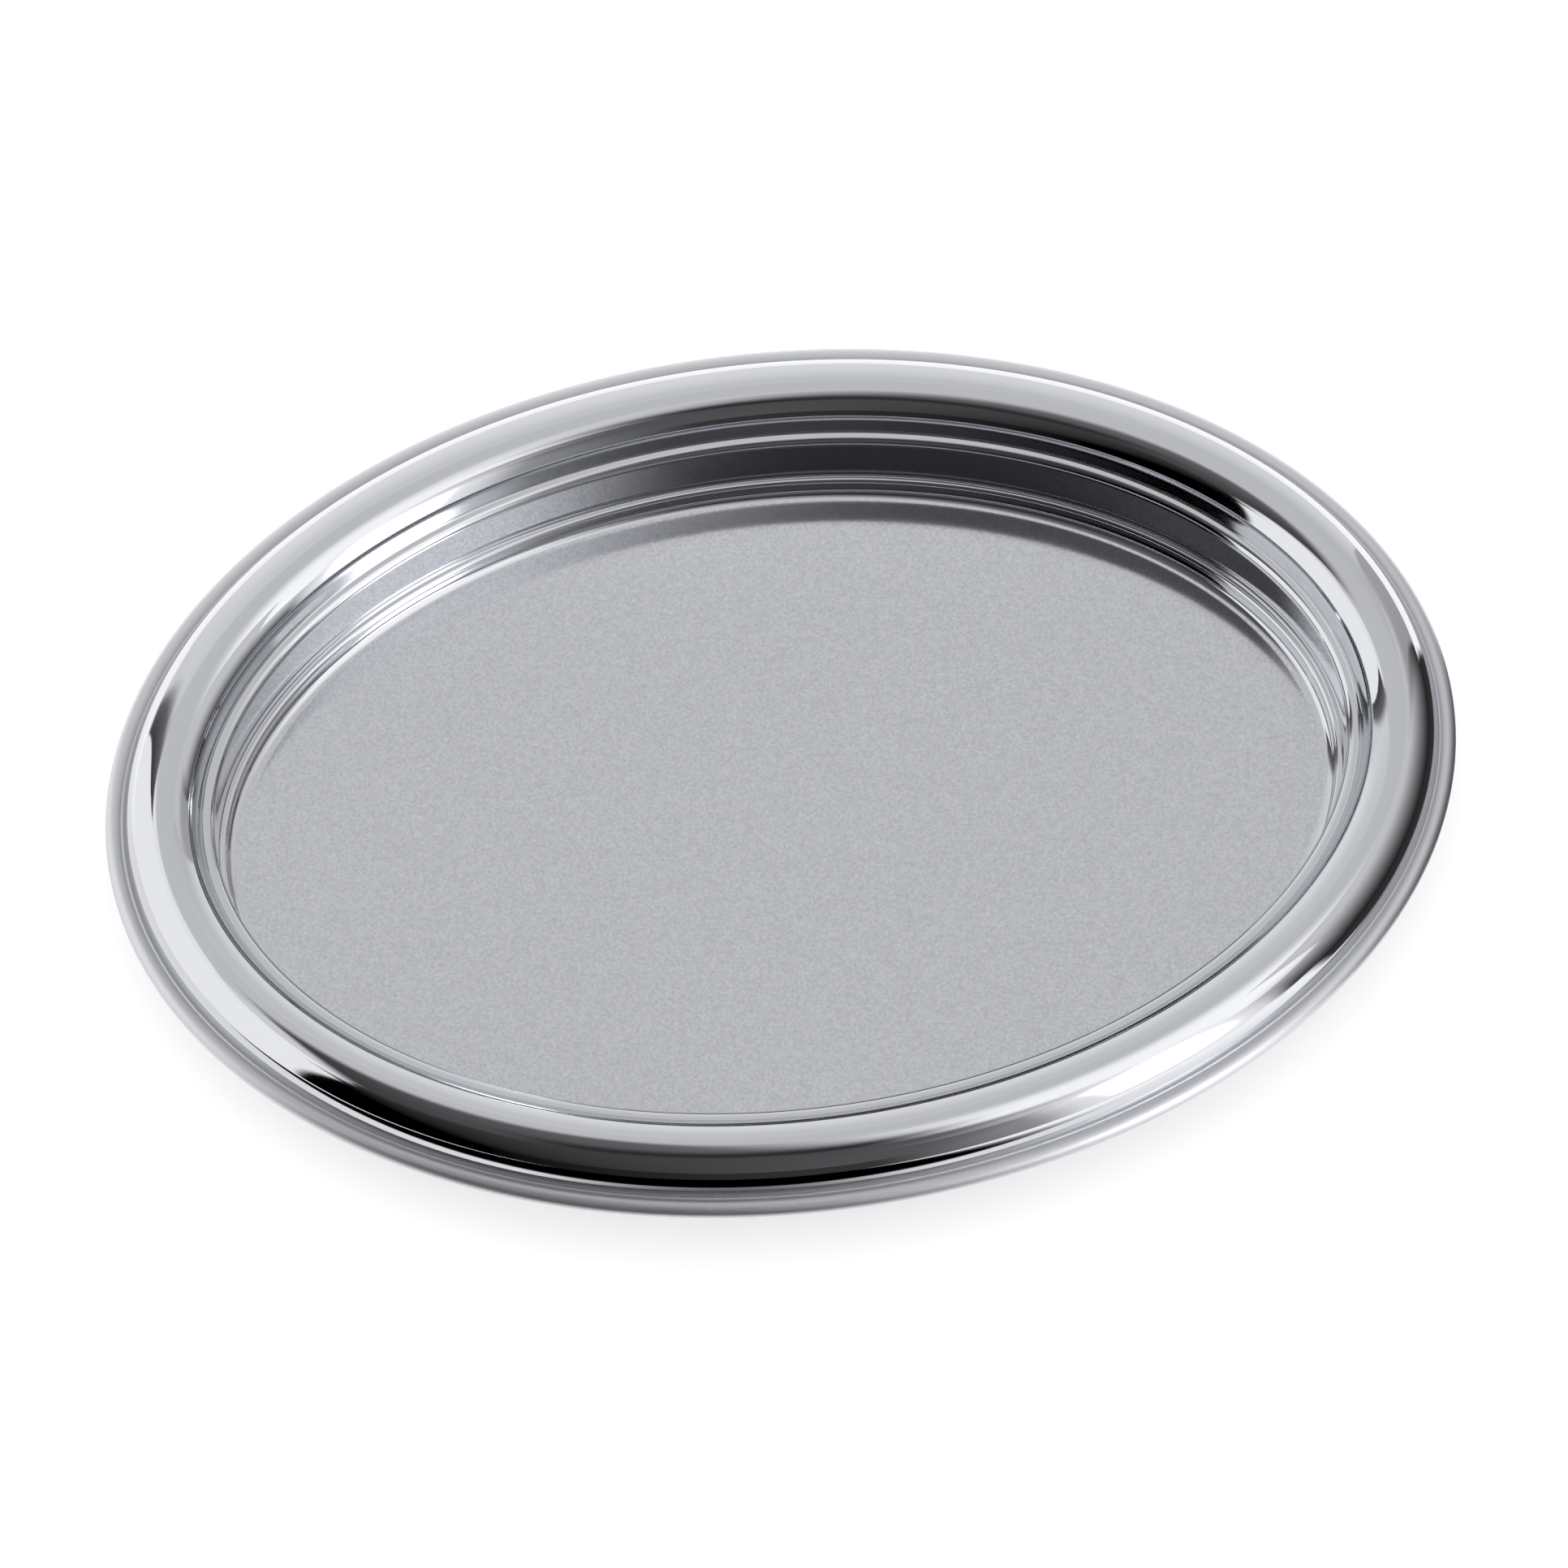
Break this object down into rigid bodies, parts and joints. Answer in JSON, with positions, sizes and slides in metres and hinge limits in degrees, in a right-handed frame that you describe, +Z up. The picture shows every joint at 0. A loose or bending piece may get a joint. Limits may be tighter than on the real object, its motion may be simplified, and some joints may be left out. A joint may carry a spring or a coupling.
{
  "type": "oval serving tray",
  "caption": "Oval serving tray in polished stainless steel with a half-round raised rim, a stepped wall, a satin floor and a wired rolled edge.",
  "frame": {"origin": "middle of the underside of the floor, on the surface that the tray rests on", "axes": "+Z up, X along the oval's long axis, Y across it"},
  "size_m": [0.22, 0.1516, 0.0232],
  "materials": {
    "polished_stainless": "mirror polished rim and wall, satin floor",
    "drawn_wire": "plain drawn wire"
  },
  "bodies": {
    "root": {"tray_pan": "polished_stainless", "rim_wire": "drawn_wire"}
  },
  "joints": []
}
